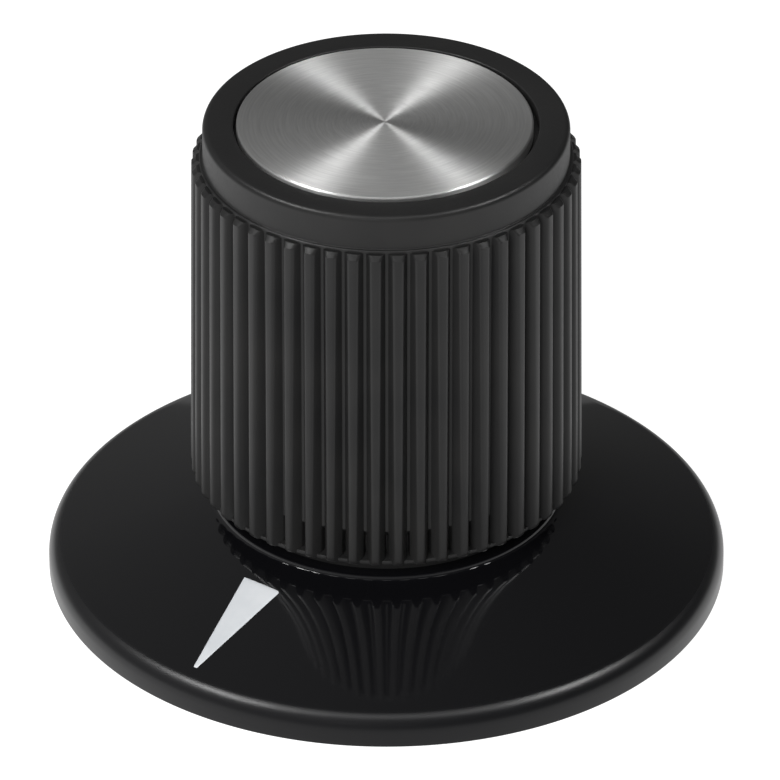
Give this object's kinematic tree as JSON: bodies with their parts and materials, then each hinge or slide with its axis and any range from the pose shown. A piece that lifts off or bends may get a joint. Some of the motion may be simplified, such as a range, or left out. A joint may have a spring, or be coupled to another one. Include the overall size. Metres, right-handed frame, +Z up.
{
  "type": "skirted control knob",
  "caption": "Fluted black control knob with a conical skirt, white pointer and spun metal inlay, for the shaft of a tuning capacitor.",
  "frame": {"origin": "on the shaft axis, in the plane of the skirt's foot", "axes": "+Z up the shaft axis to the metal inlay; the white pointer lies towards -Y; the set screws lie along +Y and -X"},
  "size_m": [0.0333, 0.0332, 0.025],
  "materials": {
    "grip_plastic": "satin moulded thermoset",
    "skirt_plastic": "high gloss moulded",
    "pointer_paint": "white paint fill",
    "spun_aluminium": "spun in fine rings",
    "adhesive_film": "clear adhesive film",
    "bushing_brass": "machined",
    "screw_steel": "black oxide"
  },
  "bodies": {
    "knob": {"grip": "grip_plastic", "skirt": "skirt_plastic", "pointer": "pointer_paint", "cap_inlay": "spun_aluminium", "inlay_adhesive": "adhesive_film", "shaft_bushing": "bushing_brass"},
    "rear_screw": {"set_screw_rear": "screw_steel"},
    "side_screw": {"set_screw_side": "screw_steel"}
  },
  "joints": [
    {"name": "rear_screw_travel", "type": "slide", "parent": "knob", "child": "rear_screw", "axis": [0, 1, 0], "range_m": [-0.0008, 0.0021]},
    {"name": "side_screw_travel", "type": "slide", "parent": "knob", "child": "side_screw", "axis": [-1, 0, 0], "range_m": [-0.0008, 0.0021]}
  ]
}
